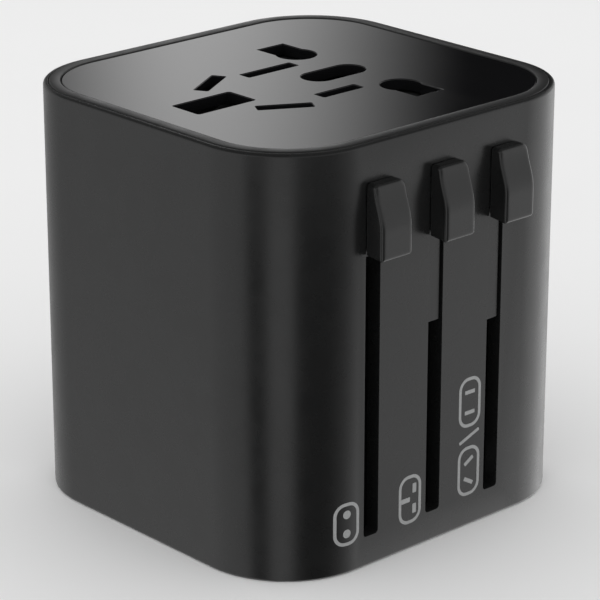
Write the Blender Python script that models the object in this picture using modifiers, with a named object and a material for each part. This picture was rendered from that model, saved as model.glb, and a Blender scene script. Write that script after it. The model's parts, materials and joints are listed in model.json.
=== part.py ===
"""Universal travel adapter with three sliding plugs, as separate parts on their real joints.

The block stands upright with its socket face on top (+Z) and its three slider knobs on the
front (-Y).  Pushing a knob down its slot drives that plug out through the base.  Every
length below is in millimetres; MM turns it into metres when a shape is made.
"""
import math

import bmesh
import bpy
from mathutils import Matrix, Vector

MM = 0.001

# Case: a rounded-square block.
CASE_X = 53.0
CASE_Y = 51.0
CASE_Z = 53.7
CASE_RADIUS = 12.4
CASE_EDGE = 0.35                # rounding of the shell's outer edges
WALL = 2.0
FIT = 0.3                       # running gap between a part and its neighbour
SNUG = 0.15                     # gap between parts that are fixed together
CORNER_STEPS = 9

# Top: rim band, face plate and shutter gap.
SHELL_TOP = CASE_Z - 0.1
RIM_SEAT = 0.6                  # thickness of the shell's lip round the rim band
RIM_LINE = 0.15                 # fine line between that lip and the rim band
RIM_WIDTH = 2.2                 # from the shell's outside to the band's inner edge
RIM_FLANGE_LOW = 52.9
RIM_WEB_TOP = 53.3
REBATE = 1.3
LEDGE_TOP = 51.9
LEDGE_BOTTOM = 51.2
PLATE_TOP = CASE_Z - 0.1
PLATE_BOTTOM = PLATE_TOP - 1.5

# Socket face: every pattern is mirrored about the line y = FACE_Y.
FACE_Y = -0.9
LINE_X = 7.5                    # row of the round and rectangular live pins
ROUND_PIN_Y = 9.5
ROUND_HOLE = 2.6
BAR_HOLE_HALF = 2.2
BAR_HOLE_END = 14.5
EARTH_X = -14.7
EARTH_HOLE = (9.1, 4.9)
FLAT_Y = 6.35
FLAT_LONG = 8.3
FLAT_SHORT = 6.6
SLOT_WIDTH = 1.8
SLANT_X = -9.4
SLANT_Y = 6.85
SLANT_LENGTH = 6.9
SLANT = math.radians(30)
LONG_HOLE = (0.3, 9.8, 4.4)     # start, end and width of the middle earth hole

# Sliders: each slot's left edge, and how far its plug travels.
SLOT_OPENING = 2.4
SLOT_LOW = 4.0
SLOT_HIGH = 48.9
EU_SLOT = -12.9
UK_SLOT = -2.4
US_SLOT = 7.8
EU_TRAVEL = 35.4
UK_TRAVEL = 24.6
US_TRAVEL = 22.3
KNOB_LOW = 39.7
KNOB_HIGH = 48.9
KNOB_WIDTH = 5.0
KNOB_PROUD = 2.75
KNOB_PROUD_TOP = 1.5
KNOB_RAMP = 5.6                 # height over which the knob eases from its low top
KNOB_UNDERCUT = 0.4
KNOB_EDGE = 0.35
STEM_HIGH = 48.6
PEG_DEPTH = 1.0
PEG_LOW = 40.9
PEG_HIGH = 46.4
PEG_PLAY = 0.25
TONGUE_RECESS = 0.35
ARM_DEPTH = 2.4
RAIL_DEPTH = 1.8

# Base plate, and the height that every lowered frame stops above it.
BASE_THICK = 2.0
STOP = 2.3
FRAME_THICK = 3.0

# Round-pin plug.
EU_PIN_RADIUS = 2.4
EU_PIN_HALF = 9.5
EU_PIN_Y = 18.9
EU_PIN_LENGTH = 36.8
EU_PIN_REACH = 19.0
EU_BLOCK = (27.0, 6.0)
EU_TIP = 0.4

# Rectangular-pin plug.
UK_X = -3.4
UK_EARTH_Y = -11.2
UK_LINE_Y = 11.0
UK_LINE_HALF = 11.1
UK_EARTH_PIN = (4.0, 8.0)
UK_LINE_PIN = (6.35, 4.0)
UK_EARTH_REACH = 22.7
UK_LINE_REACH = 17.7
UK_SLEEVE = 9.0

# Flat-blade plug.
US_HUB_Y = -9.1
US_HUB_LEFT = 5.9
US_HUB_RIGHT = 18.6
US_HUB_RADIUS = 3.9
US_FLANGE_RADIUS = 4.5
US_BLADE = (1.5, 6.35)
US_REACH = 17.0
SWIVEL = 30.0                   # degrees each blade turns for the slanted standard

# Socket block, its contacts and its legs.
BLOCK_LOW = 33.0
BLOCK_HIGH = 50.6
BLOCK_X = (-20.6, 21.5)
BLOCK_Y = (-17.1, 15.3)
LEGS = ((-14.0, -16.4), (-9.5, 3.4), (15.5, 0.6), (15.5, 12.8))
LEG_RADIUS = 2.4
STRIP_LOW = 31.8
STRIP_THICK = 0.8
LEAF = 0.5
LEAF_HIGH = 46.0
LEG_FOOT = 3.0

# Shutter and its spring.
SHUTTER_LOW = 50.85
SHUTTER_HIGH = 51.85
SHUTTER_X = (4.6, 13.5)
SHUTTER_BAR = 3.3
SHUTTER_REACH = 15.0            # half the shutter's length
SHUTTER_GAP = 6.5               # from the middle line to each pad
SHUTTER_TAB = (10.6, 11.3)
GROOVE = (10.3, 20.8, 3.2)      # start, end and width of the spring's groove
GROOVE_LOW = 47.9
SPRING_RADIUS = 1.1
SPRING_WIRE = 0.2
SPRING_TURNS = 6
SPRING_Z = 49.35
SPRING_X = (11.4, 20.6)

# Fuse and its pull-out carrier.
FUSE_X = -13.0
FUSE_Y = -5.0
FUSE_RADIUS = 3.15
FUSE_LENGTH = 25.4
FUSE_CAP = 5.2
FUSE_LOW = 3.2
CARRIER_CAP = 5.2
CARRIER_HIGH = 20.0

FRONT = -CASE_Y / 2
INNER_FRONT = FRONT + WALL


# ---------------------------------------------------------------- helpers

def clear_scene():
    """Remove whatever the file holds, so that the build always starts empty."""
    for obj in list(bpy.data.objects):
        bpy.data.objects.remove(obj)


def new_collection(name):
    """Make a collection and hang it in the scene."""
    made = bpy.data.collections.new(name)
    bpy.context.scene.collection.children.link(made)
    return made


def principled(name, colour, roughness, metallic=0.0):
    """A Principled material with one colour."""
    made = bpy.data.materials.new(name)
    made.use_nodes = True
    shader = made.node_tree.nodes["Principled BSDF"]
    shader.inputs["Base Color"].default_value = (*colour, 1.0)
    shader.inputs["Roughness"].default_value = roughness
    shader.inputs["Metallic"].default_value = metallic
    return made


def as_part(obj, look):
    """Put an object among the parts, with its own copy of a material."""
    own = look.copy()
    own.name = obj.name
    obj.data.materials.clear()
    obj.data.materials.append(own)
    PARTS.objects.link(obj)
    obj.data.shade_smooth()
    obj.data.set_sharp_from_angle(angle=math.radians(35))
    return obj


def as_tool(obj):
    """Put an object among the cutters, which are not parts."""
    TOOLS.objects.link(obj)
    obj.hide_render = True
    obj.display_type = "WIRE"
    return obj


def combine(obj, others, operation):
    """Join or cut an object with others by Boolean modifiers."""
    for other in others:
        step = obj.modifiers.new(other.name, "BOOLEAN")
        step.operation = operation
        step.solver = "EXACT"
        step.object = as_tool(other)
    return obj


def join(obj, *others):
    return combine(obj, others, "UNION")


def cut(obj, *others):
    return combine(obj, others, "DIFFERENCE")


def mesh_object(name, shape):
    """Turn a bmesh into an object and free it."""
    mesh = bpy.data.meshes.new(name)
    shape.to_mesh(mesh)
    shape.free()
    return bpy.data.objects.new(name, mesh)


def box(name, x, y, z):
    """A cuboid from its (low, high) pairs along X, Y and Z."""
    size = Vector((x[1] - x[0], y[1] - y[0], z[1] - z[0])) * MM
    shape = bmesh.new()
    bmesh.ops.create_cube(shape, size=1.0, matrix=Matrix.Diagonal((*size, 1.0)))
    obj = mesh_object(name, shape)
    obj.location = Vector((sum(x), sum(y), sum(z))) * MM / 2
    return obj


def cylinder(name, centre, radius, z, steps=32):
    """An upright cylinder from its centre line and (low, high) heights."""
    shape = bmesh.new()
    bmesh.ops.create_cone(shape, cap_ends=True, segments=steps, radius1=radius * MM,
                          radius2=radius * MM, depth=(z[1] - z[0]) * MM)
    obj = mesh_object(name, shape)
    obj.location = Vector((*centre, sum(z) / 2)) * MM
    return obj


def arc(centre, radius, start, end, steps):
    """Points along an arc, with angles in degrees."""
    points = []
    for step in range(steps + 1):
        angle = math.radians(start + (end - start) * step / steps)
        points.append((centre[0] + radius * math.cos(angle), centre[1] + radius * math.sin(angle)))
    return points


def rounded(x, y, radius, steps=CORNER_STEPS):
    """A rectangle with round corners, from its (low, high) pairs, as a closed outline."""
    points = []
    corners = ((x[1], y[1], 0), (x[0], y[1], 90), (x[0], y[0], 180), (x[1], y[0], 270))
    for corner_x, corner_y, start in corners:
        centre = (corner_x - math.copysign(radius, corner_x - sum(x) / 2),
                  corner_y - math.copysign(radius, corner_y - sum(y) / 2))
        points += arc(centre, radius, start, start + 90, steps)
    return points


def inset(amount):
    """The case's plan outline, moved inwards."""
    half_x = CASE_X / 2 - amount
    half_y = CASE_Y / 2 - amount
    return rounded((-half_x, half_x), (-half_y, half_y), CASE_RADIUS - amount)


def centred(x, y, size, radius, steps=3):
    """A rounded rectangle from its centre and size."""
    return rounded((x - size[0] / 2, x + size[0] / 2), (y - size[1] / 2, y + size[1] / 2),
                   radius, steps)


def turned(points, centre, angle):
    """Points rotated about a centre, in radians."""
    spin = Matrix.Rotation(angle, 2)
    middle = Vector(centre)
    return [tuple(spin @ (Vector(point) - middle) + middle) for point in points]


def slab(name, outlines, low, high, sideways=False):
    """A flat outline with a thickness.  The first outline is the edge and the rest are holes.

    Upright, the outline lies in X and Y and low to high runs along Z.  Sideways, it lies in
    Y and Z and low to high runs along X.
    """
    curve = bpy.data.curves.new(name, "CURVE")
    curve.dimensions = "2D"
    curve.fill_mode = "BOTH"
    curve.extrude = (high - low) / 2 * MM
    for outline in outlines:
        spline = curve.splines.new("POLY")
        spline.points.add(len(outline) - 1)
        spline.use_cyclic_u = True
        for point, place in zip(spline.points, outline):
            point.co = (place[0] * MM, place[1] * MM, 0.0, 1.0)
    draft = bpy.data.objects.new(name, curve)
    middle = (low + high) / 2 * MM
    draft.matrix_world = Matrix.Translation((0, 0, middle))
    if sideways:
        yz_plane = Matrix(((0, 0, 1, 0), (1, 0, 0, 0), (0, 1, 0, 0), (0, 0, 0, 1)))
        draft.matrix_world = Matrix.Translation((middle, 0, 0)) @ yz_plane
    return welded(draft)


def welded(draft):
    """Replace a curve object by a closed mesh object in the same place."""
    bpy.context.scene.collection.objects.link(draft)
    bpy.context.view_layer.update()
    solid = draft.evaluated_get(bpy.context.evaluated_depsgraph_get())
    mesh = bpy.data.meshes.new_from_object(solid)
    shape = bmesh.new()
    shape.from_mesh(mesh)
    bmesh.ops.remove_doubles(shape, verts=shape.verts, dist=0.001 * MM)
    bmesh.ops.recalc_face_normals(shape, faces=shape.faces)
    shape.to_mesh(mesh)
    shape.free()
    name = draft.name
    place = draft.matrix_world.copy()
    bpy.data.objects.remove(draft)
    obj = bpy.data.objects.new(name, mesh)
    obj.matrix_world = place
    return obj


def soften(obj, width, steps=2):
    """Round the sharp edges of an object."""
    bevel = obj.modifiers.new("edges", "BEVEL")
    bevel.width = width * MM
    bevel.segments = steps
    bevel.limit_method = "ANGLE"
    bevel.angle_limit = math.radians(50)
    return obj


def carry(name, place, members):
    """Parent the pieces that move together to one empty on their joint's axis."""
    pivot = bpy.data.objects.new(name, None)
    PARTS.objects.link(pivot)
    pivot.location = Vector(place) * MM
    bpy.context.view_layer.update()
    for member in members:
        member.parent = pivot
        member.matrix_parent_inverse = pivot.matrix_world.inverted()
    return pivot


# ---------------------------------------------------------------- case

def slot_span(left):
    return (left, left + SLOT_OPENING)


def make_outer_shell(look):
    """The moulded sleeve, with its slider slots and a stepped seat for the rim band."""
    shell = soften(slab("outer_shell", [inset(0)], 0, SHELL_TOP), CASE_EDGE)
    cutters = [slab("shell_hollow", [inset(WALL)], -1, CASE_Z),
               slab("shell_rebate", [inset(REBATE)], LEDGE_BOTTOM - SNUG, CASE_Z),
               slab("rim_seat", [inset(RIM_SEAT)], RIM_FLANGE_LOW - SNUG, CASE_Z)]
    for left in (EU_SLOT, UK_SLOT, US_SLOT):
        cutters.append(box("slider_slot", slot_span(left), (FRONT - 1, INNER_FRONT + 1),
                           (SLOT_LOW, SLOT_HIGH)))
    return as_part(cut(shell, *cutters), look)


def make_rim_band(look):
    """The band round the face: a flange in the shell's seat, a web and the plate's ledge."""
    flange = slab("rim_band", [inset(RIM_SEAT + RIM_LINE), inset(RIM_WIDTH)], RIM_FLANGE_LOW,
                  CASE_Z)
    web = slab("rim_web", [inset(REBATE + SNUG), inset(RIM_WIDTH)], LEDGE_BOTTOM, RIM_WEB_TOP)
    ledge = slab("rim_ledge", [inset(REBATE + SNUG), inset(RIM_WIDTH + 1)], LEDGE_BOTTOM,
                 LEDGE_TOP)
    return as_part(join(flange, web, ledge), look)


def live_hole(side):
    """The hole that takes a round pin or a rectangular pin, on one side of the face."""
    reach = math.degrees(math.acos(BAR_HOLE_HALF / ROUND_HOLE))
    points = arc((LINE_X, FACE_Y + side * ROUND_PIN_Y), ROUND_HOLE,
                 side * reach, side * (-180 - reach), 16)
    end = FACE_Y + side * BAR_HOLE_END
    return points + [(LINE_X - BAR_HOLE_HALF, end), (LINE_X + BAR_HOLE_HALF, end)]


def thin_slots(extra=0.0):
    """The parallel and the slanted blade slots, which the face and the block share."""
    holes = []
    width = SLOT_WIDTH + extra
    for side, length in ((1, FLAT_LONG), (-1, FLAT_SHORT)):
        holes.append(centred(0, FACE_Y + side * FLAT_Y, (length + extra, width), 0.2, 2))
        middle = (SLANT_X, FACE_Y + side * SLANT_Y)
        flat = centred(*middle, (SLANT_LENGTH + extra, width), 0.2, 2)
        holes.append(turned(flat, middle, side * SLANT))
    return holes


def long_hole(extra=0.0):
    start, end, width = LONG_HOLE
    half = width / 2 + extra
    return rounded((start - extra, end + extra), (FACE_Y - half, FACE_Y + half), half, 8)


def make_face_plate(look):
    holes = [live_hole(1), live_hole(-1), centred(EARTH_X, FACE_Y, EARTH_HOLE, 0.5)]
    outlines = [inset(RIM_WIDTH + SNUG)] + holes + thin_slots() + [long_hole()]
    return as_part(slab("face_plate", outlines, PLATE_BOTTOM, PLATE_TOP), look)


def blade_swing(name, centre, direction):
    """Cutters for the bow-tie that a blade sweeps as it turns."""
    cutters = []
    for part_turn in (0, 0.5, 1):
        half_x = US_BLADE[0] / 2 + 0.25
        half_y = US_BLADE[1] / 2 + 0.25
        cutter = box(name, (-half_x, half_x), (-half_y, half_y), (-1, BASE_THICK + 1))
        cutter.location = Vector((*centre, BASE_THICK / 2)) * MM
        cutter.rotation_euler.z = math.radians(direction * SWIVEL * part_turn)
        cutters.append(cutter)
    return cutters


def make_base_plate(look):
    gap = 0.5
    holes = [
        centred(UK_X, UK_EARTH_Y, (UK_EARTH_PIN[0] + gap, UK_EARTH_PIN[1] + gap), 0.3),
        centred(0, EU_PIN_Y, (EU_BLOCK[0] + 0.6, EU_BLOCK[1] + 0.6), 3.1, 6),
        arc((FUSE_X, FUSE_Y), CARRIER_CAP + FIT, 0, 348.75, 31),
    ]
    for side in (-1, 1):
        holes.append(centred(UK_X + side * UK_LINE_HALF, UK_LINE_Y,
                             (UK_LINE_PIN[0] + gap, UK_LINE_PIN[1] + gap), 0.3))
    plate = slab("base_plate", [inset(WALL + FIT)] + holes, 0, BASE_THICK)
    cutters = blade_swing("left_swing", (US_HUB_LEFT, US_HUB_Y), 1)
    cutters += blade_swing("right_swing", (US_HUB_RIGHT, US_HUB_Y), -1)
    for leg in LEGS:
        cutters.append(cylinder("screw_hole", leg, 1.3, (-1, BASE_THICK + 1), 16))
        cutters.append(cylinder("screw_seat", leg, 2.2, (-1, 1.3), 20))
    return as_part(cut(plate, *cutters), look)


def make_screws(look):
    screws = []
    for number, leg in enumerate(LEGS, start=1):
        screw = cylinder(f"base_screw_{number}", leg, 1.95, (0.3, 1.15), 20)
        join(screw, cylinder("screw_shank", leg, 1.0, (0.8, 9.0), 12))
        drive = (leg[0] - 1.3, leg[0] + 1.3)
        cut(screw, box("screw_drive", drive, (leg[1] - 0.25, leg[1] + 0.25), (0, 0.7)))
        screws.append(as_part(screw, look))
    return screws


def make_guide_rail(name, left, right, look):
    span = (INNER_FRONT + SNUG, INNER_FRONT + SNUG + RAIL_DEPTH)
    rail = box(name, (left, right), span, (STOP, BLOCK_HIGH))
    return as_part(soften(rail, 0.4), look)


# ---------------------------------------------------------------- socket

def make_socket_block(look):
    live = (LINE_X - ROUND_HOLE, LINE_X + ROUND_HOLE + 0.4)
    holes = [centred(EARTH_X, FACE_Y, (EARTH_HOLE[0] + 0.5, EARTH_HOLE[1] + 1.3), 0.3)]
    for side in (-1, 1):
        ends = sorted((FACE_Y + side * 6.7, FACE_Y + side * 14.9))
        holes.append(rounded(live, ends, 0.3, 3))
    outlines = [rounded(BLOCK_X, BLOCK_Y, 4.0, 5)] + holes + thin_slots(0.1) + [long_hole(0.1)]
    block = slab("socket_block", outlines, BLOCK_LOW, BLOCK_HIGH)
    for leg in LEGS:
        join(block, cylinder("block_leg", leg, LEG_RADIUS, (STOP, BLOCK_LOW + 1), 20))
    for leg in LEGS:
        cut(block, cylinder("leg_hole", leg, 1.2, (STOP - 1, 10), 12))
    start, end, width = GROOVE
    cut(block, box("spring_groove", (start, end), (FACE_Y - width / 2, FACE_Y + width / 2),
                   (GROOVE_LOW, BLOCK_HIGH + 1)))
    return as_part(block, look)


def make_contact(name, strip_x, strip_y, leaf, foot_x, foot_y, look):
    """A folded strip: a base under the block, a leaf up its cavity and a leg to the base."""
    strip = (STRIP_LOW, STRIP_LOW + STRIP_THICK)
    contact = box(name, strip_x, strip_y, strip)
    join(contact, box(name + "_leaf", leaf[0], leaf[1], (STRIP_LOW + 0.2, LEAF_HIGH)))
    join(contact, box(name + "_leg", foot_x, foot_y, (LEG_FOOT, STRIP_LOW + 0.5)))
    return as_part(contact, look)


def make_contacts(look):
    leaf_x = (LINE_X + ROUND_HOLE - LEAF, LINE_X + ROUND_HOLE)
    left_foot = (-20.0, -19.2)
    line = make_contact("line_contact", (-13.0, 12.9), (FACE_Y + 7.6, FACE_Y + 11.6),
                        (leaf_x, (FACE_Y + 7.8, FACE_Y + 11.4)), (12.1, 12.9),
                        (FACE_Y + 7.9, FACE_Y + 11.3), look)
    neutral = make_contact("neutral_contact", (-20.0, leaf_x[1]), (FACE_Y - 11.6, FACE_Y - 7.6),
                           (leaf_x, (FACE_Y - 11.4, FACE_Y - 7.8)), left_foot,
                           (FACE_Y - 11.3, FACE_Y - 7.9), look)
    earth_y = (FACE_Y - 3.0, FACE_Y + 1.8)
    leaf_y = (FACE_Y - 3.0, FACE_Y - 3.0 + LEAF)
    earth = make_contact("earth_contact", (-20.0, 9.6), earth_y, ((-17.5, -12.5), leaf_y),
                         left_foot, (FACE_Y - 2.8, FACE_Y + 1.6), look)
    return [line, neutral, earth]


def make_shutter(look):
    """A C-shaped plate: two pads under the live holes, a bar between them and a spring tab."""
    thick = (SHUTTER_LOW, SHUTTER_HIGH)
    bar = box("shutter", (SHUTTER_X[1] - SHUTTER_BAR, SHUTTER_X[1]),
              (FACE_Y - SHUTTER_REACH, FACE_Y + SHUTTER_REACH), thick)
    for side in (-1, 1):
        ends = sorted((FACE_Y + side * SHUTTER_GAP, FACE_Y + side * SHUTTER_REACH))
        join(bar, box("shutter_pad", (SHUTTER_X[0], SHUTTER_X[1] - 1), ends, thick))
    half = GROOVE[2] / 2 - FIT
    join(bar, box("shutter_tab", SHUTTER_TAB, (FACE_Y - half, FACE_Y + half),
                  (GROOVE_LOW + FIT, SHUTTER_LOW + 0.5)))
    return as_part(bar, look)


def make_spring(look):
    """A coil spring along X, as a poly line round its axis."""
    curve = bpy.data.curves.new("shutter_spring", "CURVE")
    curve.dimensions = "3D"
    curve.bevel_depth = SPRING_WIRE * MM
    curve.bevel_resolution = 1
    curve.use_fill_caps = True
    per_turn = 12
    count = SPRING_TURNS * per_turn
    spline = curve.splines.new("POLY")
    spline.points.add(count)
    length = SPRING_X[1] - SPRING_X[0]
    for step, point in enumerate(spline.points):
        angle = 2 * math.pi * step / per_turn
        place = Vector((SPRING_X[0] + length * step / count,
                        FACE_Y + SPRING_RADIUS * math.cos(angle),
                        SPRING_Z + SPRING_RADIUS * math.sin(angle))) * MM
        point.co = (*place, 1.0)
    return as_part(welded(bpy.data.objects.new("shutter_spring", curve)), look)


# ---------------------------------------------------------------- fuse

def make_fuse(carrier_look, metal, ceramic):
    centre = (FUSE_X, FUSE_Y)
    carrier = cylinder("fuse_carrier", centre, CARRIER_CAP, (0.25, 1.9), 32)
    join(carrier, cylinder("carrier_tube", centre, FUSE_RADIUS + 1.2, (1, CARRIER_HIGH), 32))
    cut(carrier, cylinder("carrier_bore", centre, FUSE_RADIUS + SNUG, (FUSE_LOW - 0.2, 30), 32),
        box("coin_slot", (FUSE_X - 3.5, FUSE_X + 3.5), (FUSE_Y - 0.6, FUSE_Y + 0.6), (0, 1.1)))
    low_end = (FUSE_LOW, FUSE_LOW + FUSE_CAP)
    high_end = (FUSE_LOW + FUSE_LENGTH - FUSE_CAP, FUSE_LOW + FUSE_LENGTH)
    low_cap = cylinder("fuse_cap_lower", centre, FUSE_RADIUS, low_end, 24)
    high_cap = cylinder("fuse_cap_upper", centre, FUSE_RADIUS, high_end, 24)
    tube_z = (low_end[1] + SNUG, high_end[0] - SNUG)
    tube = cylinder("fuse_tube", centre, FUSE_RADIUS - 0.15, tube_z, 24)
    pieces = [as_part(carrier, carrier_look), as_part(low_cap, metal), as_part(high_cap, metal),
              as_part(tube, ceramic)]
    return carry("fuse_slide_axis", (FUSE_X, FUSE_Y, 0), pieces)


def make_fuse_contact(look):
    """The leaf above the fuse, with a tail that rises beside the neutral strip."""
    top = FUSE_LOW + FUSE_LENGTH + 0.4
    leaf = box("fuse_contact", (FUSE_X - 2.5, FUSE_X + 2.5), (FUSE_Y - 2.5, FUSE_Y + 2.5),
               (top, top + 0.6))
    join(leaf, box("fuse_contact_tail", (FUSE_X - 2, FUSE_X + 2), (FUSE_Y + 0.2, FUSE_Y + 0.8),
                   (top + 0.3, STRIP_LOW + STRIP_THICK)))
    return as_part(leaf, look)


# ---------------------------------------------------------------- sliders

def make_knob(name, left, look):
    """A thumb knob: proud at its undercut lower end, easing back to a lower top."""
    back = FRONT - SNUG
    profile = [(back, KNOB_LOW + KNOB_UNDERCUT), (back, KNOB_HIGH)]
    steps = 6
    for step in range(steps + 1):
        share = step / steps
        ease = (1 - math.cos(math.pi * share)) / 2
        proud = KNOB_PROUD_TOP + (KNOB_PROUD - KNOB_PROUD_TOP) * ease
        profile.append((FRONT - proud, KNOB_HIGH - KNOB_RAMP * share))
    profile.append((FRONT - KNOB_PROUD, KNOB_LOW))
    knob = slab(name, [profile], left, left + KNOB_WIDTH, sideways=True)
    soften(knob, KNOB_EDGE)
    peg_x = (left, left + SLOT_OPENING)
    pocket_y = (FRONT - PEG_DEPTH - SNUG, FRONT + 1)
    cut(knob, box(name + "_pocket", peg_x, pocket_y, (PEG_LOW - PEG_PLAY, PEG_HIGH + PEG_PLAY)))
    return as_part(knob, look)


def join_stem(frame, left, arm_x, foot, travel):
    """Add the slider's arm behind the wall, its key in the slot and its peg in the knob."""
    tongue = SLOT_LOW + FIT + travel
    key_x = (left + SNUG, left + SLOT_OPENING - FIT)
    arm_y = (INNER_FRONT + FIT, INNER_FRONT + FIT + ARM_DEPTH)
    join(frame, box("slider_arm", arm_x, arm_y, (foot, STEM_HIGH)))
    join(frame, box("slider_key", key_x, (FRONT + TONGUE_RECESS, arm_y[0] + 1),
                    (tongue, STEM_HIGH)))
    join(frame, box("slider_peg", key_x, (FRONT - PEG_DEPTH, arm_y[0] + 1),
                    (PEG_LOW, PEG_HIGH)))
    return frame


def turned_pin(name, centre, radius, z, look):
    """A round pin with a domed tip, turned about its own axis."""
    steps = 5
    profile = [(0.0, z[1]), (radius, z[1])]
    dome = arc((0, z[0] + radius * 0.6), radius, 0, -90, steps)
    profile += [(x, z[0] + radius * 0.6 + (y - z[0] - radius * 0.6) * 0.6) for x, y in dome]
    mesh = bpy.data.meshes.new(name)
    points = [(x * MM, 0, y * MM) for x, y in profile]
    mesh.from_pydata(points, [(n, n + 1) for n in range(len(points) - 1)], [])
    pin = bpy.data.objects.new(name, mesh)
    pin.location = Vector((*centre, 0)) * MM
    screw = pin.modifiers.new("turn", "SCREW")
    screw.steps = 24
    screw.render_steps = 24
    screw.use_merge_vertices = True
    screw.merge_threshold = 0.01 * MM
    return as_part(pin, look)


def make_eu_plug(plastic, knob_look, metal):
    frame_low = STOP + EU_TRAVEL
    frame_z = (frame_low, frame_low + FRAME_THICK)
    block_y = (EU_PIN_Y - EU_BLOCK[1] / 2, EU_PIN_Y + EU_BLOCK[1] / 2)
    frame = slab("eu_frame", [inset(WALL + FIT)], *frame_z)
    inner_x = (-CASE_X / 2 + WALL + FIT + FRAME_THICK, CASE_X)
    inner_y = (INNER_FRONT + FIT + FRAME_THICK, block_y[0])
    cut(frame, slab("eu_frame_inside", [rounded(inner_x, inner_y, 5.0, 5)], frame_z[0] - 1,
                    frame_z[1] + 1),
        box("eu_frame_front", (EU_SLOT + SLOT_OPENING + 0.5, CASE_X), (-CASE_Y, 0),
            (frame_z[0] - 1, frame_z[1] + 1)),
        box("eu_frame_back", (EU_BLOCK[0] / 2 + 0.3, CASE_X), (-1, CASE_Y),
            (frame_z[0] - 1, frame_z[1] + 1)))
    join_stem(frame, EU_SLOT, (EU_SLOT - 1.2, EU_SLOT + SLOT_OPENING + 0.4), frame_low + 0.5,
              EU_TRAVEL)
    tip = EU_TIP
    block_z = (tip + EU_PIN_REACH, frame_low - FIT)
    holes = []
    pins = []
    for name, side in (("eu_pin_left", -1), ("eu_pin_right", 1)):
        centre = (side * EU_PIN_HALF, EU_PIN_Y)
        holes.append(arc(centre, EU_PIN_RADIUS + SNUG, 0, 345, 23))
        pins.append(turned_pin(name, centre, EU_PIN_RADIUS, (tip, tip + EU_PIN_LENGTH), metal))
    block = slab("eu_pin_block", [centred(0, EU_PIN_Y, EU_BLOCK, 2.9, 6)] + holes, *block_z)
    pieces = [as_part(frame, plastic), as_part(block, plastic), *pins,
              make_knob("eu_knob", EU_SLOT, knob_look)]
    return carry("eu_slide_axis", (EU_SLOT + SLOT_OPENING / 2, FRONT, KNOB_LOW), pieces)


def bar_pin(name, centre, size, z, look, waist=None):
    """A rectangular pin with a chamfered tip and, under a sleeve, a waist."""
    half_x = size[0] / 2
    half_y = size[1] / 2
    pin = box(name, (centre[0] - half_x, centre[0] + half_x),
              (centre[1] - half_y, centre[1] + half_y), z)
    soften(pin, 0.5, 1)
    if waist:
        ring = slab(name + "_waist", [centred(*centre, (size[0] + 2, size[1] + 2), 0.2, 1),
                                      centred(*centre, (size[0] - 0.9, size[1] - 0.9), 0.2, 2)],
                    *waist)
        cut(pin, ring)
    return as_part(pin, look)


def make_uk_plug(plastic, knob_look, metal, sleeve_look):
    low = STOP + UK_TRAVEL
    thick = (low, low + FRAME_THICK)
    pin_top = low + 2.0
    line_pins = [("uk_pin_neutral", UK_X - UK_LINE_HALF), ("uk_pin_line", UK_X + UK_LINE_HALF)]
    frame = box("uk_frame", (UK_X - 3.2, UK_X + 3.2), (INNER_FRONT + 2.3, UK_LINE_Y + 3), thick)
    join(frame, box("uk_cross_bar", (UK_X - UK_LINE_HALF - 4, UK_X + UK_LINE_HALF + 3.9),
                    (UK_LINE_Y - 3.05, UK_LINE_Y + 3.05), thick))
    join_stem(frame, UK_SLOT, (UK_SLOT - 1.7, UK_SLOT + SLOT_OPENING + 0.5), low, UK_TRAVEL)
    earth_size = (UK_EARTH_PIN[0] + FIT, UK_EARTH_PIN[1] + FIT)
    cut(frame, slab("uk_earth_seat", [centred(UK_X, UK_EARTH_Y, earth_size, 0.2, 1)], low - 1,
                    pin_top + SNUG))
    rest_tip = UK_TRAVEL - UK_EARTH_REACH
    pieces = [bar_pin("uk_pin_earth", (UK_X, UK_EARTH_Y), UK_EARTH_PIN, (rest_tip, pin_top),
                      metal)]
    line_tip = UK_TRAVEL - UK_LINE_REACH
    sleeve_z = (low - FIT - UK_SLEEVE, low - FIT)
    for name, x in line_pins:
        seat = (UK_LINE_PIN[0] + FIT, UK_LINE_PIN[1] + FIT)
        cut(frame, slab(name + "_seat", [centred(x, UK_LINE_Y, seat, 0.2, 1)], low - 1,
                        pin_top + SNUG))
        waist = (sleeve_z[0] - SNUG, sleeve_z[1] + SNUG)
        pieces.append(bar_pin(name, (x, UK_LINE_Y), UK_LINE_PIN, (line_tip, pin_top), metal,
                              waist))
        inner = (UK_LINE_PIN[0] - 0.9 + SNUG, UK_LINE_PIN[1] - 0.9 + SNUG)
        sleeve = slab(name.replace("pin", "sleeve"),
                      [centred(x, UK_LINE_Y, UK_LINE_PIN, 0.4, 2),
                       centred(x, UK_LINE_Y, inner, 0.2, 2)], *sleeve_z)
        pieces.append(as_part(sleeve, sleeve_look))
    pieces += [as_part(frame, plastic), make_knob("uk_knob", UK_SLOT, knob_look)]
    return carry("uk_slide_axis", (UK_SLOT + SLOT_OPENING / 2, FRONT, KNOB_LOW), pieces)


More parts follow.
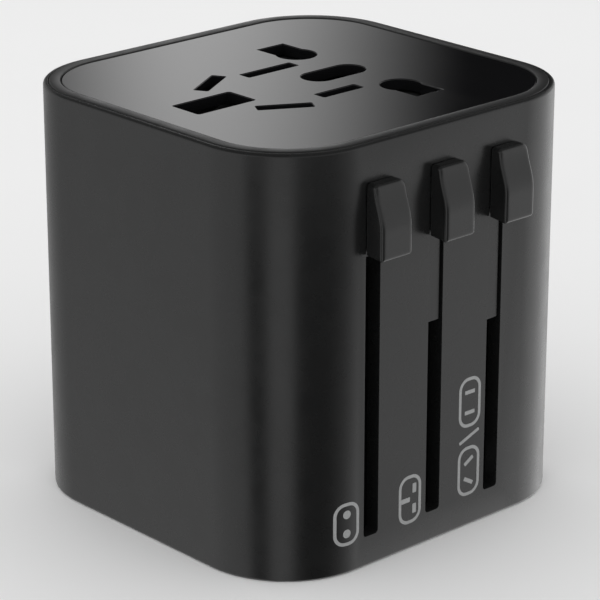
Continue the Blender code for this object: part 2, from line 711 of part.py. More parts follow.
def make_blade(side, x, plastic, metal):
    """One blade, and the hub that it turns with, on an empty at the hub's axis."""
    low = STOP + US_TRAVEL + 0.4
    high = low + FRAME_THICK + 1.2
    centre = (x, US_HUB_Y)
    hub = cylinder(side + "_blade_hub", centre, US_HUB_RADIUS, (low, high), 32)
    join(hub, cylinder("hub_flange", centre, US_FLANGE_RADIUS, (high - 0.9, high), 32))
    half_x = US_BLADE[0] / 2
    half_y = US_BLADE[1] / 2
    slot_x = (x - half_x - SNUG, x + half_x + SNUG)
    slot_y = (US_HUB_Y - half_y - SNUG, US_HUB_Y + half_y + SNUG)
    cut(hub, box("blade_slot", slot_x, slot_y, (low - 1, high + 1)))
    blade = box(side + "_blade", (x - half_x, x + half_x), (US_HUB_Y - half_y, US_HUB_Y + half_y),
                (US_TRAVEL - US_REACH, high - 0.2))
    soften(blade, 0.4, 1)
    return carry(side + "_blade_axis", (*centre, low), [as_part(hub, plastic),
                                                        as_part(blade, metal)])


def make_us_plug(plastic, knob_look, metal):
    low = STOP + US_TRAVEL + 0.4
    thick = (low, low + FRAME_THICK)
    frame = box("us_frame", (US_HUB_LEFT - 4.9, US_HUB_RIGHT + 5.0),
                (US_HUB_Y - 5.5, US_HUB_Y + 5.5), thick)
    join(frame, box("us_spur", (US_SLOT - 1.4, US_SLOT + 3.9), (INNER_FRONT + 2.3, US_HUB_Y - 4),
                    thick))
    join_stem(frame, US_SLOT, (US_SLOT - 1.4, US_SLOT + 3.9), low, US_TRAVEL)
    for x in (US_HUB_LEFT, US_HUB_RIGHT):
        cut(frame, cylinder("hub_hole", (x, US_HUB_Y), US_HUB_RADIUS + 0.1,
                            (low - 1, low + FRAME_THICK + 1), 32))
    pieces = [as_part(frame, plastic), make_knob("us_knob", US_SLOT, knob_look)]
    carrier = carry("us_slide_axis", (US_SLOT + SLOT_OPENING / 2, FRONT, KNOB_LOW), pieces)
    for side, x in (("left", US_HUB_LEFT), ("right", US_HUB_RIGHT)):
        pivot = make_blade(side, x, plastic, metal)
        bpy.context.view_layer.update()
        pivot.parent = carrier
        pivot.matrix_parent_inverse = carrier.matrix_world.inverted()


# ---------------------------------------------------------------- assembly

clear_scene()
PARTS = new_collection("universal_travel_adapter")
TOOLS = new_collection("cutters")

SATIN_BLACK = principled("satin_black", (0.035, 0.036, 0.037), 0.42)
GLOSS_BLACK = principled("gloss_black", (0.012, 0.012, 0.013), 0.08)
INNER_BLACK = principled("inner_black", (0.02, 0.02, 0.021), 0.6)
NICKEL = principled("nickel", (0.72, 0.7, 0.66), 0.25, 1.0)
BRASS = principled("brass", (0.78, 0.57, 0.25), 0.3, 1.0)
STEEL = principled("steel", (0.55, 0.55, 0.56), 0.35, 1.0)
CERAMIC = principled("ceramic", (0.82, 0.8, 0.75), 0.3)

make_outer_shell(SATIN_BLACK)
make_rim_band(SATIN_BLACK)
make_face_plate(GLOSS_BLACK)
make_base_plate(SATIN_BLACK)
make_screws(STEEL)
make_guide_rail("guide_rail_left", -9.5, -4.5, INNER_BLACK)
make_guide_rail("guide_rail_right", 1.0, 6.0, INNER_BLACK)
make_socket_block(INNER_BLACK)
make_contacts(BRASS)
make_fuse_contact(BRASS)
make_spring(STEEL)
carry("shutter_axis", (SHUTTER_X[1], FACE_Y, SHUTTER_LOW), [make_shutter(INNER_BLACK)])
make_fuse(SATIN_BLACK, NICKEL, CERAMIC)
make_eu_plug(INNER_BLACK, SATIN_BLACK, NICKEL)
make_uk_plug(INNER_BLACK, SATIN_BLACK, NICKEL, GLOSS_BLACK)
make_us_plug(INNER_BLACK, SATIN_BLACK, NICKEL)
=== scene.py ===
"""Looks of the universal travel adapter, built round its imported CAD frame.

Lengths are in millimetres and MM turns them into metres.  Places come from the CAD nodes'
boxes where a box gives them.  The other sizes are named here: outlines that repeat the
CAD's, edge radii and print widths.
"""

import json
import math

import bmesh
import bpy
from mathutils import Matrix, Vector


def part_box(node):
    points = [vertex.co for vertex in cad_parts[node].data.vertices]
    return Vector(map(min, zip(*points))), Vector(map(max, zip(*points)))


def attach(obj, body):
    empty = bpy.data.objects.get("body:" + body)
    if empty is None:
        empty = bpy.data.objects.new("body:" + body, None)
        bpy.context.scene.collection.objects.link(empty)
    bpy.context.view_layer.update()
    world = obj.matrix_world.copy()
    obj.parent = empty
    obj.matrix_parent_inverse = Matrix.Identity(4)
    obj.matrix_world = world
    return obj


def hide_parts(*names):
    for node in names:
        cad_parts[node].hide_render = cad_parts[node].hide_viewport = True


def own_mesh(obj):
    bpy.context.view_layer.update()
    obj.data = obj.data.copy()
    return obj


MM = 0.001
CASE_RADIUS = 12.4
CORNER_STEPS = 28
FINE = 3                        # segments in a rounded edge
PAST = 1.0                      # how far a cutter reaches past what it cuts
CLOSE = 0.0005                  # points nearer than this are one point

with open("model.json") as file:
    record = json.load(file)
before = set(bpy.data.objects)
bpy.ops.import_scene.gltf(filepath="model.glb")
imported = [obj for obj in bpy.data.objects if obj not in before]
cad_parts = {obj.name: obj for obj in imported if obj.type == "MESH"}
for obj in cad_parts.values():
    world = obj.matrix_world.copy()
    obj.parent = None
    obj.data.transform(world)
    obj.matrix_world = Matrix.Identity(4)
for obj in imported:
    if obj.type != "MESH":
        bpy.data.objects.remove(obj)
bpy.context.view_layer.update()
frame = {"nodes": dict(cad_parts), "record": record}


def span(node):
    """A CAD node's lowest and highest corner, in millimetres."""
    low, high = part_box(node)
    return [value / MM for value in low], [value / MM for value in high]


CASE_LOW, CASE_HIGH = span("outer_shell")
RIM_LOW, RIM_HIGH = span("rim_band")
PLATE_LOW, PLATE_HIGH = span("face_plate")
CASE_X = CASE_HIGH[0] - CASE_LOW[0]
CASE_Y = CASE_HIGH[1] - CASE_LOW[1]
FRONT = CASE_LOW[1]


# ---------------------------------------------------------------- shapes

def arc(centre, radius, start, end, steps):
    """Points along an arc, with angles in degrees."""
    points = []
    for step in range(steps + 1):
        angle = math.radians(start + (end - start) * step / steps)
        points.append((centre[0] + radius * math.cos(angle), centre[1] + radius * math.sin(angle)))
    return points


def rounded(x, y, radius, steps=CORNER_STEPS):
    """A rectangle with round corners, from its (low, high) pairs.

    The radius is one number, or one for each corner, anticlockwise from high X, high Y.
    """
    radii = radius if isinstance(radius, tuple) else (radius,) * 4
    corners = ((x[1], y[1], -1, -1, 0), (x[0], y[1], 1, -1, 90),
               (x[0], y[0], 1, 1, 180), (x[1], y[0], -1, 1, 270))
    points = []
    for size, (corner_x, corner_y, in_x, in_y, start) in zip(radii, corners):
        points += arc((corner_x + in_x * size, corner_y + in_y * size), size, start, start + 90,
                      steps)
    return points


def centred(x, y, size, radius, steps=6):
    """A rounded rectangle from its centre and size."""
    return rounded((x - size[0] / 2, x + size[0] / 2), (y - size[1] / 2, y + size[1] / 2),
                   radius, steps)


def turned(points, centre, angle):
    """Points rotated about a centre, with the angle in degrees."""
    spin = Matrix.Rotation(math.radians(angle), 2)
    middle = Vector(centre)
    return [tuple(spin @ (Vector(point) - middle) + middle) for point in points]


def inset(amount):
    """The case's plan outline, moved inwards."""
    half_x = CASE_X / 2 - amount
    half_y = CASE_Y / 2 - amount
    return rounded((-half_x, half_x), (-half_y, half_y), CASE_RADIUS - amount)


def new_object(name, mesh):
    obj = bpy.data.objects.new(name, mesh)
    bpy.context.scene.collection.objects.link(obj)
    return obj


def shape_object(name, shape):
    """Turn a bmesh in millimetres into an object in metres, with doubled points joined."""
    bmesh.ops.scale(shape, vec=(MM, MM, MM), verts=shape.verts)
    bmesh.ops.remove_doubles(shape, verts=shape.verts, dist=CLOSE * MM)
    bmesh.ops.recalc_face_normals(shape, faces=shape.faces)
    mesh = bpy.data.meshes.new(name)
    shape.to_mesh(mesh)
    shape.free()
    return new_object(name, mesh)


def slab(name, outlines, low, high, edge=0.0, plane="XY"):
    """A flat outline with a thickness and rounded rims; outlines after the first are holes.

    In plane XY, low to high runs along Z, and in XZ it runs along Y from front to back.
    """
    curve = bpy.data.curves.new(name, "CURVE")
    curve.dimensions = "2D"
    curve.fill_mode = "BOTH"
    curve.extrude = ((high - low) / 2 - edge) * MM
    curve.bevel_depth = edge * MM
    curve.bevel_resolution = FINE - 1
    curve.offset = -edge * MM
    for outline in outlines:
        spline = curve.splines.new("POLY")
        spline.points.add(len(outline) - 1)
        spline.use_cyclic_u = True
        for point, place in zip(spline.points, outline):
            point.co = (place[0] * MM, place[1] * MM, 0.0, 1.0)
    draft = new_object(name, curve)
    middle = (low + high) / 2 * MM
    turns = {
        "XY": Matrix.Translation((0, 0, middle)),
        "XZ": Matrix.Translation((0, middle, 0)) @ Matrix(
            ((1, 0, 0, 0), (0, 0, -1, 0), (0, 1, 0, 0), (0, 0, 0, 1))),
    }
    bpy.context.view_layer.update()
    solid = draft.evaluated_get(bpy.context.evaluated_depsgraph_get())
    mesh = bpy.data.meshes.new_from_object(solid)
    bpy.data.objects.remove(draft)
    shape = bmesh.new()
    shape.from_mesh(mesh)
    bpy.data.meshes.remove(mesh)
    shape.transform(turns[plane])
    bmesh.ops.scale(shape, vec=(1 / MM, 1 / MM, 1 / MM), verts=shape.verts)
    return shape_object(name, shape)


def skin(shape, loops):
    """Join each ring of vertices to the next one with faces."""
    for loop, after in zip(loops, loops[1:]):
        for index in range(len(loop)):
            beside = (index + 1) % len(loop)
            shape.faces.new((loop[index], loop[beside], after[beside], after[index]))


def lofted(name, profile):
    """A closed (inset, height) profile carried round the case's plan outline."""
    shape = bmesh.new()
    loops = []
    for amount, height in profile:
        loops.append([shape.verts.new((x, y, height)) for x, y in inset(amount)])
    skin(shape, loops + loops[:1])
    return shape_object(name, shape)


def lathe(name, profile, centre, steps=48):
    """A (radius, height) profile turned about an upright axis, closed at both ends."""
    shape = bmesh.new()
    verts = [shape.verts.new((radius, 0, height)) for radius, height in profile]
    edges = [shape.edges.new(pair) for pair in zip(verts, verts[1:])]
    bmesh.ops.spin(shape, geom=verts + edges, cent=(0, 0, 0), axis=(0, 0, 1),
                   angle=2 * math.pi, steps=steps, use_merge=True)
    bmesh.ops.translate(shape, vec=(*centre, 0), verts=shape.verts)
    return shape_object(name, shape)


def carve(obj, cutters):
    """Cut the cutters away from an object, and delete them."""
    for cutter in cutters:
        step = obj.modifiers.new("carve", "BOOLEAN")
        step.operation = "DIFFERENCE"
        step.solver = "EXACT"
        step.object = cutter
    settle(obj)
    for cutter in cutters:
        bpy.data.objects.remove(cutter)
    return obj


def settle(obj):
    """Replace an object's mesh by what its modifiers make of it."""
    bpy.context.view_layer.update()
    solid = obj.evaluated_get(bpy.context.evaluated_depsgraph_get())
    mesh = bpy.data.meshes.new_from_object(solid)
    obj.modifiers.clear()
    obj.data = mesh
    return obj


def round_edges(obj, width, angle, segments=FINE):
    """Round what is still sharp, keeping flat faces flat."""
    bevel = obj.modifiers.new("edges", "BEVEL")
    bevel.width = width * MM
    bevel.segments = segments
    bevel.limit_method = "ANGLE"
    bevel.angle_limit = math.radians(angle)
    bevel.harden_normals = True
    return obj


def smooth(obj, angle):
    """Shade an object smooth, apart from edges sharper than that many degrees."""
    obj.data.shade_smooth()
    obj.data.set_sharp_from_angle(angle=math.radians(angle))
    return obj


def flat_caps(obj):
    """Shade a slab's top and bottom as true planes, up to where its rounded rims begin."""
    mesh = obj.data
    heights = [vert.co.z for vert in mesh.vertices]
    low, high = min(heights), max(heights)
    close = 0.001 * MM
    normals = [Vector(corner.vector) for corner in mesh.corner_normals]
    for number, loop in enumerate(mesh.loops):
        height = heights[loop.vertex_index]
        if high - height < close:
            normals[number] = Vector((0, 0, 1))
        elif height - low < close:
            normals[number] = Vector((0, 0, -1))
    mesh.normals_split_custom_set(normals)
    return obj


# ---------------------------------------------------------------- materials

class Nodes:
    """Short calls for building a material's node tree."""

    def __init__(self, name):
        self.material = bpy.data.materials.new(name)
        self.material.use_nodes = True
        self.tree = self.material.node_tree
        self.shader = self.tree.nodes["Principled BSDF"]
        place = self.add("ShaderNodeTexCoord")
        self.place = place.outputs["Object"]

    def add(self, kind, **settings):
        made = self.tree.nodes.new(kind)
        for key, value in settings.items():
            setattr(made, key, value)
        return made

    def link(self, source, target):
        self.tree.links.new(source, target)

    def noise(self, size, detail=2.0, stretch=(1, 1, 1)):
        """Noise with features of that size in millimetres."""
        mapping = self.add("ShaderNodeMapping")
        scale = 1 / (size * MM)
        mapping.inputs["Scale"].default_value = [scale / part for part in stretch]
        self.link(self.place, mapping.inputs["Vector"])
        made = self.add("ShaderNodeTexNoise")
        made.inputs["Scale"].default_value = 1.0
        made.inputs["Detail"].default_value = detail
        self.link(mapping.outputs["Vector"], made.inputs["Vector"])
        return made.outputs["Fac"]

    def between(self, value, low, high, start=0.3, end=0.7):
        """Map a value from start-end to low-high."""
        made = self.add("ShaderNodeMapRange")
        for name, number in (("From Min", start), ("From Max", end), ("To Min", low),
                             ("To Max", high)):
            made.inputs[name].default_value = number
        self.link(value, made.inputs["Value"])
        return made.outputs["Result"]

    def maths(self, operation, first, second):
        made = self.add("ShaderNodeMath", operation=operation)
        for socket, value in zip(made.inputs, (first, second)):
            if isinstance(value, (int, float)):
                socket.default_value = value
            else:
                self.link(value, socket)
        return made.outputs["Value"]

    def mix(self, share, first, second):
        """Mix two colours by a share."""
        made = self.add("ShaderNodeMix", data_type="RGBA")
        self.link(share, made.inputs["Factor"])
        for socket, value in ((made.inputs["A"], first), (made.inputs["B"], second)):
            if isinstance(value, tuple):
                socket.default_value = (*value, 1.0)
            else:
                self.link(value, socket)
        return made.outputs["Result"]

    def bump(self, height, strength, depth, below=None):
        """A bump of that depth in millimetres, which may sit on another."""
        made = self.add("ShaderNodeBump")
        made.inputs["Strength"].default_value = strength
        made.inputs["Distance"].default_value = depth * MM
        self.link(height, made.inputs["Height"])
        if below is not None:
            self.link(below, made.inputs["Normal"])
        return made.outputs["Normal"]

    def worn_edge(self, radius):
        """How near a surface point is to a sharp edge, from 0 to 1."""
        soft = self.add("ShaderNodeBevel", samples=4)
        soft.inputs["Radius"].default_value = radius * MM
        flat = self.add("ShaderNodeNewGeometry")
        product = self.add("ShaderNodeVectorMath", operation="DOT_PRODUCT")
        self.link(soft.outputs["Normal"], product.inputs[0])
        self.link(flat.outputs["Normal"], product.inputs[1])
        return self.between(product.outputs["Value"], 1.0, 0.0, 0.9, 0.998)

    def set(self, **values):
        for key, value in values.items():
            socket = self.shader.inputs[key.replace("_", " ")]
            if hasattr(value, "links"):
                self.link(value, socket)
            elif isinstance(value, tuple):
                socket.default_value = (*value, 1.0)
            else:
                socket.default_value = value


def moulded_plastic(name, colour, pale, roughness, grain=0.12, depth=0.006, wear=0.35):
    """Fine-grained moulded plastic, a little paler and smoother where edges have been rubbed."""
    nodes = Nodes(name)
    patches = nodes.between(nodes.noise(9.0, 3.0), 0.0, 0.5)
    speckle = nodes.between(nodes.noise(0.35, 2.0), 0.0, 0.35)
    tone = nodes.mix(nodes.maths("ADD", patches, speckle), colour, pale)
    rubbed = nodes.maths("MULTIPLY", nodes.worn_edge(0.35), nodes.noise(1.4, 3.0))
    rubbed = nodes.maths("MULTIPLY", rubbed, wear)
    worn_colour = tuple(min(1.0, 3.2 * part) for part in pale)
    base = nodes.mix(rubbed, tone, worn_colour)
    rough = nodes.between(nodes.noise(3.5, 4.0), roughness - 0.03, roughness + 0.04)
    rough = nodes.maths("SUBTRACT", rough, nodes.maths("MULTIPLY", rubbed, 0.15))
    fine = nodes.bump(nodes.noise(grain, 2.0), 0.35, depth)
    wavy = nodes.bump(nodes.noise(12.0, 1.0), 0.06, 0.05, fine)
    nodes.set(Base_Color=base, Roughness=rough, Normal=wavy)
    return nodes.material


def gloss_plastic(name, colour):
    """Polished plastic with faint wiping marks and hairline scratches."""
    nodes = Nodes(name)
    smear = nodes.between(nodes.noise(7.0, 4.0, (1.0, 3.0, 1.0)), 0.045, 0.085)
    hair = nodes.between(nodes.noise(0.9, 2.0, (26.0, 0.12, 1.0)), 0.0, 0.05, 0.66, 0.74)
    rough = nodes.maths("ADD", smear, hair)
    dust = nodes.between(nodes.noise(0.22, 1.0), 0.0, 0.35, 0.70, 0.80)
    base = nodes.mix(dust, colour, (0.03, 0.03, 0.032))
    flow = nodes.bump(nodes.noise(16.0, 1.0), 0.04, 0.04)
    nodes.set(Base_Color=base, Roughness=rough, Normal=flow)
    return nodes.material


def plated_metal(name, colour, dull, roughness, along=(1, 1, 14)):
    """Plated metal with fine drawing lines along its length and dull patches."""
    nodes = Nodes(name)
    lines = nodes.noise(0.12, 3.0, along)
    patches = nodes.between(nodes.noise(2.5, 3.0), 0.0, 1.0, 0.42, 0.72)
    base = nodes.mix(patches, colour, dull)
    rough = nodes.maths("ADD", nodes.between(lines, roughness - 0.05, roughness + 0.06),
                        nodes.maths("MULTIPLY", patches, 0.08))
    nodes.set(Base_Color=base, Roughness=rough, Metallic=1.0,
              Normal=nodes.bump(lines, 0.12, 0.004))
    return nodes.material


def glazed_ceramic(name, colour):
    nodes = Nodes(name)
    cloud = nodes.between(nodes.noise(1.6, 3.0), 0.0, 1.0)
    base = nodes.mix(cloud, colour, tuple(0.86 * part for part in colour))
    rough = nodes.between(nodes.noise(0.5, 2.0), 0.16, 0.3)
    nodes.set(Base_Color=base, Roughness=rough, Normal=nodes.bump(nodes.noise(0.8, 2.0), 0.1, 0.02))
    return nodes.material


def printed_ink(name, colour):
    """Pad-printed ink with a slightly uneven cover."""
    nodes = Nodes(name)
    cover = nodes.between(nodes.noise(0.25, 3.0), 0.0, 1.0)
    base = nodes.mix(cover, colour, tuple(0.85 * part for part in colour))
    rough = nodes.between(nodes.noise(0.6, 2.0), 0.45, 0.6)
    nodes.set(Base_Color=base, Roughness=rough, Normal=nodes.bump(nodes.noise(0.15), 0.2, 0.004))
    return nodes.material


SATIN = moulded_plastic("satin_black_shell", (0.007, 0.0072, 0.0072), (0.009, 0.0092, 0.0092),
                        0.27)
RIM = moulded_plastic("satin_black_rim", (0.007, 0.0072, 0.0072), (0.009, 0.0092, 0.0092), 0.36)
KNOB = moulded_plastic("satin_black_knob", (0.007, 0.0072, 0.0072), (0.01, 0.0102, 0.0102), 0.24,
                       wear=0.5)
BASE = moulded_plastic("textured_black_base", (0.016, 0.016, 0.0165), (0.023, 0.023, 0.024), 0.42,
                       grain=0.2, depth=0.012)
INNER = moulded_plastic("matte_black_inside", (0.008, 0.008, 0.0085), (0.013, 0.013, 0.0135), 0.6,
                        wear=0.15)
SLEEVE = moulded_plastic("black_pin_sleeve", (0.012, 0.012, 0.0125), (0.018, 0.018, 0.0185), 0.34)
GLOSS = gloss_plastic("gloss_black_face", (0.006, 0.006, 0.0065))
NICKEL = plated_metal("nickel_plate", (0.73, 0.71, 0.67), (0.62, 0.6, 0.56), 0.2)
BRASS = plated_metal("brass_strip", (0.80, 0.60, 0.28), (0.62, 0.43, 0.2), 0.28)
STEEL = plated_metal("zinc_steel", (0.5, 0.5, 0.51), (0.36, 0.36, 0.37), 0.32, (1, 1, 1))
CERAMIC = glazed_ceramic("fuse_ceramic", (0.82, 0.8, 0.74))
INK = printed_ink("grey_print", (0.32, 0.325, 0.325))

SLOT_LOOKS = {
    "case": SATIN, "rim": RIM, "face": GLOSS, "base": BASE, "knob": KNOB,
    "slider_plastic": SATIN, "inner_plastic": INNER, "sleeve": SLEEVE, "pin_metal": NICKEL,
    "contact_brass": BRASS, "screw_steel": STEEL, "spring_steel": STEEL, "fuse_ceramic": CERAMIC,
}
NODE_SLOTS = {row["node"]: row["material_slot"] for row in frame["record"]["subparts"]}
NODE_BODIES = {}
for body_name, members in frame["record"]["behaviour"]["bodies"].items():
    for member in members:
        NODE_BODIES[member] = body_name


REPLACED = set()                # CAD nodes that a finer piece stands for


def dress(obj, look):
    obj.data.materials.clear()
    obj.data.materials.append(look)


def stand_for(obj, node):
    """Show a finished piece in place of a CAD node, on its body and with its finish."""
    dress(obj, SLOT_LOOKS[NODE_SLOTS[node]])
    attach(obj, NODE_BODIES[node])
    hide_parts(node)
    REPLACED.add(node)
    return obj


# ---------------------------------------------------------------- case

SLOT_OPENING = 2.4
SLOT_FLOOR = 4.0
SLOT_CEILING = 48.9
SLOT_CORNER = 0.45
KNOBS = ("eu_knob", "uk_knob", "us_knob")
WALL = 2.0
SHOULDER = 0.4                  # rounding of the shell's rims
CUT_EDGE = 0.1                  # rounding left by the slots' cutters
LIP = 0.6                       # the shell's lip round the rim band
REBATE = 1.3
RIM_LINE = 0.13                 # fine line between that lip and the rim band
RIM_INSIDE = 2.2                # from the shell's outside to the band's inner edge
RIM_EDGE = 0.12
LEDGE_WIDTH = 1.0               # the hidden ledge under the plate
LEDGE_DROP = 0.2                # from the plate down to that ledge
FLANGE_LOW = 52.9
FIT = 0.15


def make_shell():
    """The moulded sleeve, with its slider slots and its stepped seat for the rim."""
    low, high = CASE_LOW[2], CASE_HIGH[2]
    shell = slab("moulded_shell", [inset(0), inset(WALL)], low, high, SHOULDER)
    cutters = [slab("rebate", [inset(REBATE)], RIM_LOW[2] - FIT, high + PAST),
               slab("seat", [inset(LIP)], FLANGE_LOW - FIT, high + PAST)]
    for knob in KNOBS:
        left = span(knob)[0][0]
        opening = rounded((left, left + SLOT_OPENING), (SLOT_FLOOR, SLOT_CEILING), SLOT_CORNER, 4)
        cutters.append(slab("slot", [opening], FRONT - PAST, FRONT + WALL + PAST, 0.0, "XZ"))
    carve(shell, cutters)
    round_edges(shell, CUT_EDGE, 60)
    return stand_for(smooth(shell, 35), "outer_shell")


def make_rim():
    """The band: a flange flush with the shell's lip, and the hidden ledge under the plate."""
    outside = LIP + RIM_LINE
    shoulder = RIM_HIGH[2] - RIM_EDGE
    ledge_top = PLATE_LOW[2] - LEDGE_DROP
    ledge_end = RIM_INSIDE + LEDGE_WIDTH
    web = REBATE + FIT
    profile = [(outside, FLANGE_LOW)]
    profile += arc((outside + RIM_EDGE, shoulder), RIM_EDGE, 180, 90, 4)
    profile += arc((RIM_INSIDE - RIM_EDGE, shoulder), RIM_EDGE, 90, 0, 4)
    profile += [(RIM_INSIDE, ledge_top), (ledge_end, ledge_top), (ledge_end, RIM_LOW[2]),
                (web, RIM_LOW[2]), (web, FLANGE_LOW)]
    return stand_for(smooth(lofted("rim_ring", profile), 50), "rim_band")


# ---------------------------------------------------------------- socket face

FACE_Y = -0.9                   # middle line of the hole pattern
SIDES = (1, -1)
LINE_X = 7.5                    # row of the round and rectangular live pins
ROUND_PIN_Y = 9.5
ROUND_HOLE = 2.6
BAR_HOLE_HALF = 2.2
BAR_HOLE_END = 14.5
EARTH_X = -14.7
EARTH_HOLE = (9.1, 4.9)
LONG_HOLE = (0.3, 9.8, 4.4)     # start, end and width of the middle earth hole
SLOT_WIDTH = 1.8
FLAT_Y = 6.35
FLAT_LENGTHS = (8.3, 6.6)
SLANT_X = -9.4
SLANT_Y = 6.85
SLANT_LENGTH = 6.9
SLANT = 30                      # degrees
HOLE_CORNER = 0.2
EARTH_CORNER = 0.35
PLATE_GAP = 0.08
PLATE_EDGE = 0.12


def live_hole(side):
    """The hole that takes a round pin or a rectangular pin."""
    reach = math.degrees(math.acos(BAR_HOLE_HALF / ROUND_HOLE))
    points = arc((LINE_X, FACE_Y + side * ROUND_PIN_Y), ROUND_HOLE, side * reach,
                 side * (-180 - reach), 40)
    end = FACE_Y + side * BAR_HOLE_END
    return points + [(LINE_X - BAR_HOLE_HALF, end), (LINE_X + BAR_HOLE_HALF, end)]


def face_holes():
    holes = [live_hole(side) for side in SIDES]
    holes.append(centred(EARTH_X, FACE_Y, EARTH_HOLE, EARTH_CORNER))
    start, end, width = LONG_HOLE
    holes.append(rounded((start, end), (FACE_Y - width / 2, FACE_Y + width / 2), width / 2, 20))
    for side, length in zip(SIDES, FLAT_LENGTHS):
        holes.append(centred(0, FACE_Y + side * FLAT_Y, (length, SLOT_WIDTH), HOLE_CORNER))
        middle = (SLANT_X, FACE_Y + side * SLANT_Y)
        slot = centred(*middle, (SLANT_LENGTH, SLOT_WIDTH), HOLE_CORNER)
        holes.append(turned(slot, middle, side * SLANT))
    return holes


def make_face():
    outlines = [inset(RIM_INSIDE + PLATE_GAP)] + face_holes()
    plate = slab("gloss_face_plate", outlines, PLATE_LOW[2], PLATE_HIGH[2], PLATE_EDGE)
    return stand_for(flat_caps(smooth(plate, 35)), "face_plate")


# ---------------------------------------------------------------- knobs

KNOB_TOP_PROUD = 1.5
KNOB_RAMP = 5.6                 # height over which a knob eases back to its low top
KNOB_UNDERCUT = 0.4
KNOB_EDGE = 0.42
KNOB_CORNERS = (1.1, 0.5, 0.35, 0.55)       # anticlockwise from the top right
KNOB_RINGS = 8


def knob_outline(low, high, amount, steps=6, parts=18):
    """A knob's outline in X and Z moved inwards, always with the same number of points."""
    radii = tuple(max(size - amount, 0.0) for size in KNOB_CORNERS)
    corners = rounded((low[0] + amount, high[0] - amount), (low[2] + amount, high[2] - amount),
                      radii, steps)
    points = []
    for index, point in enumerate(corners):
        points.append(point)
        after = corners[(index + 1) % len(corners)]
        if index % (steps + 1) == steps:
            for part in range(1, parts):
                share = part / parts
                points.append((point[0] + (after[0] - point[0]) * share,
                               point[1] + (after[1] - point[1]) * share))
    return points


def make_knob(node, name):
    """A thumb piece: proud at its undercut foot, easing back to a low top, rounded all round."""
    low, high = span(node)
    top_front = FRONT - KNOB_TOP_PROUD

    def front(height):
        share = min(1.0, (high[2] - height) / KNOB_RAMP)
        return top_front + (low[1] - top_front) * (1 - math.cos(math.pi * share)) / 2

    back = [(x, high[1], max(z, low[2] + KNOB_UNDERCUT))
            for x, z in knob_outline(low, high, 0.0)]
    rows = [back]
    for turn in range(0, 91, 15):
        amount = KNOB_EDGE * (1 - math.cos(math.radians(turn)))
        drop = KNOB_EDGE * (1 - math.sin(math.radians(turn)))
        rows.append([(x, front(z) + drop, z) for x, z in knob_outline(low, high, amount)])
    half = (high[0] - low[0]) / 2
    for ring in range(1, KNOB_RINGS + 1):
        amount = KNOB_EDGE + (half - KNOB_EDGE) * ring / KNOB_RINGS
        rows.append([(x, front(z), z) for x, z in knob_outline(low, high, amount)])
    shape = bmesh.new()
    loops = [[shape.verts.new(point) for point in row] for row in rows]
    shape.faces.new(loops[0])
    skin(shape, loops)
    return stand_for(smooth(shape_object(name, shape), 35), node)


# ---------------------------------------------------------------- printed signs

PRINT_THICK = 0.03
PRINT_SUNK = 0.05               # how far the ink reaches into the wall
STROKE = 0.42
SIGN_WIDE = 3.8
SIGN_GAP = 0.8                  # from a sign to its slot
SIGN_STRIPS = 10
SIGN_CORNER = 0.42              # share of a sign's width

ROUND_SIGN = (5.6, 6.6)         # each sign's height, and its middle above the base
BAR_SIGN = (6.4, 6.7)
BLADE_SIGN = (6.6, 12.1)
DOT_RADIUS = 0.55
DOT_Z = 1.25                    # from a sign's middle to each live pin
BAR_Z = 1.35
EARTH_BAR = (1.5, 0.62)
LIVE_BAR = (0.62, 1.25)
BAR_X = 0.75
BLADE = (1.7, 0.5)
BAR_CORNER = 0.1
BLADE_CORNER = 0.08
BLADES_Z = 4.6                  # from the middle to each half of the blade sign
STROKE_BETWEEN = (3.6, 0.42)
STROKE_TURN = 20


def plug_frame(centre, size):
    """The outline of a plug's face, drawn as a line."""
    corner = size[0] * SIGN_CORNER
    inside = (size[0] - 2 * STROKE, size[1] - 2 * STROKE)
    return [centred(*centre, size, corner, 10), centred(*centre, inside, corner - STROKE, 10)]


def merged(name, pieces):
    """Put a sign's loose meshes in one object, cut into upright strips that can be bent."""
    shape = bmesh.new()
    for piece in pieces:
        shape.from_mesh(piece.data)
        bpy.data.objects.remove(piece)
    bmesh.ops.scale(shape, vec=(1 / MM, 1 / MM, 1 / MM), verts=shape.verts)
    for number in range(1, SIGN_STRIPS):
        x = SIGN_WIDE * (number / SIGN_STRIPS - 0.5)
        parts = list(shape.verts) + list(shape.edges) + list(shape.faces)
        bmesh.ops.bisect_plane(shape, geom=parts, plane_co=(x, 0, 0), plane_no=(1, 0, 0))
    return shape_object(name, shape)


def print_sign(name, frames, pins, knob, z):
    """Pad-printed line work on the front face, beside a slot and bent round the corner."""
    drawings = frames + [[pin] for pin in pins]
    sign = merged(name, [slab(name, drawing, FRONT - PRINT_THICK, FRONT + PRINT_SUNK, 0.0, "XZ")
                         for drawing in drawings])
    x = span(knob)[0][0] - SIGN_GAP - SIGN_WIDE / 2
    sign.data.transform(Matrix.Translation((x * MM, 0, z * MM)))
    radius = CASE_RADIUS * MM
    bend = CASE_LOW[0] * MM + radius
    for vert in sign.data.vertices:
        past = max(0.0, bend - vert.co.x)
        vert.co.y += radius - math.sqrt(radius ** 2 - past ** 2)
    dress(sign, INK)
    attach(sign, "housing")


